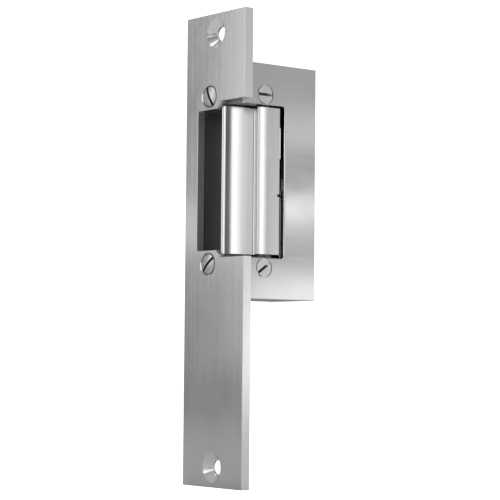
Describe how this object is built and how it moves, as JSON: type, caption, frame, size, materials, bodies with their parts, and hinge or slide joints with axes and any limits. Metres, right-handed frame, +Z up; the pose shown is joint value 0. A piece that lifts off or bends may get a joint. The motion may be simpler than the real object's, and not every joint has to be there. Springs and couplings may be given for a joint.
{
  "type": "electric door strike",
  "caption": "Electric door strike with a long flat faceplate, a side plate at right angles and a tall hinged keeper released by a solenoid.",
  "frame": {"origin": "middle of the line between the two mounting holes, on the back face of the faceplate", "axes": "+X across the faceplate toward the side plate, +Y into the door jamb, +Z up the faceplate"},
  "size_m": [0.046, 0.0511, 0.2286],
  "materials": {
    "faceplate_steel": "satin, vertical grain",
    "plate_steel": "smooth rolled sheet",
    "keeper_steel": "polished casting",
    "screw_steel": "turned heads",
    "pin_steel": "ground",
    "spring_steel": "drawn wire",
    "lever_steel": "hardened, blasted",
    "plated_steel": "zinc plated",
    "cast_alloy": "cast, machined faces",
    "bronze": "turned",
    "stop_rubber": "matt",
    "bobbin_plastic": "moulded",
    "coil_tape": "wound tape",
    "terminal_plastic": "moulded"
  },
  "bodies": {
    "housing": {"faceplate": "faceplate_steel", "faceplate_screws": "screw_steel", "side_plate": "plate_steel", "side_plate_screws": "screw_steel", "upper_block": "cast_alloy", "lower_block": "cast_alloy", "side_wall": "cast_alloy", "wall_screws": "screw_steel", "rear_cover": "plate_steel", "cover_screws": "screw_steel", "pocket_back_plate": "plate_steel", "upper_bush": "bronze", "lower_bush": "bronze", "keeper_stop": "stop_rubber", "spring_post": "pin_steel", "lever_pin": "pin_steel", "lever_pin_clip": "spring_steel", "plunger_spring": "spring_steel", "solenoid_frame": "plated_steel", "solenoid_bobbin": "bobbin_plastic", "solenoid_coil": "coil_tape", "solenoid_core": "plated_steel", "core_nut": "plated_steel", "mechanism_plate": "plated_steel", "solenoid_screws": "screw_steel", "bracket_screws": "screw_steel", "terminal_block": "terminal_plastic", "terminal_screws": "bronze"},
    "keeper": {"keeper": "keeper_steel", "keeper_pin": "pin_steel", "keeper_spring": "spring_steel"},
    "plunger": {"plunger": "plated_steel", "link_pin": "pin_steel", "plunger_ring": "spring_steel"},
    "lever": {"locking_lever": "lever_steel"}
  },
  "joints": [
    {"name": "keeper_swing", "type": "hinge", "parent": "housing", "child": "keeper", "pos_m": [0.009, 0.019, 0.0334], "axis": [0, 0, 1], "range_deg": [0, 72], "stiffness_Nm_per_rad": 0.04, "springref_deg": -22.92, "deforming": ["keeper_spring"]},
    {"name": "plunger_slide", "type": "slide", "parent": "housing", "child": "plunger", "axis": [0, 0, 1], "range_m": [0, 0.0037], "stiffness_N_per_m": 250, "springref_m": -0.004, "deforming": ["plunger_spring"]},
    {"name": "lever_swing", "type": "hinge", "parent": "housing", "child": "lever", "pos_m": [-0.0082, 0.0317, 0.034], "axis": [0, -1, 0], "range_deg": [0, 20]}
  ],
  "couplings": [
    {"joint": "lever_swing", "follows": "plunger_slide", "rad_per_m": 94.025}
  ]
}
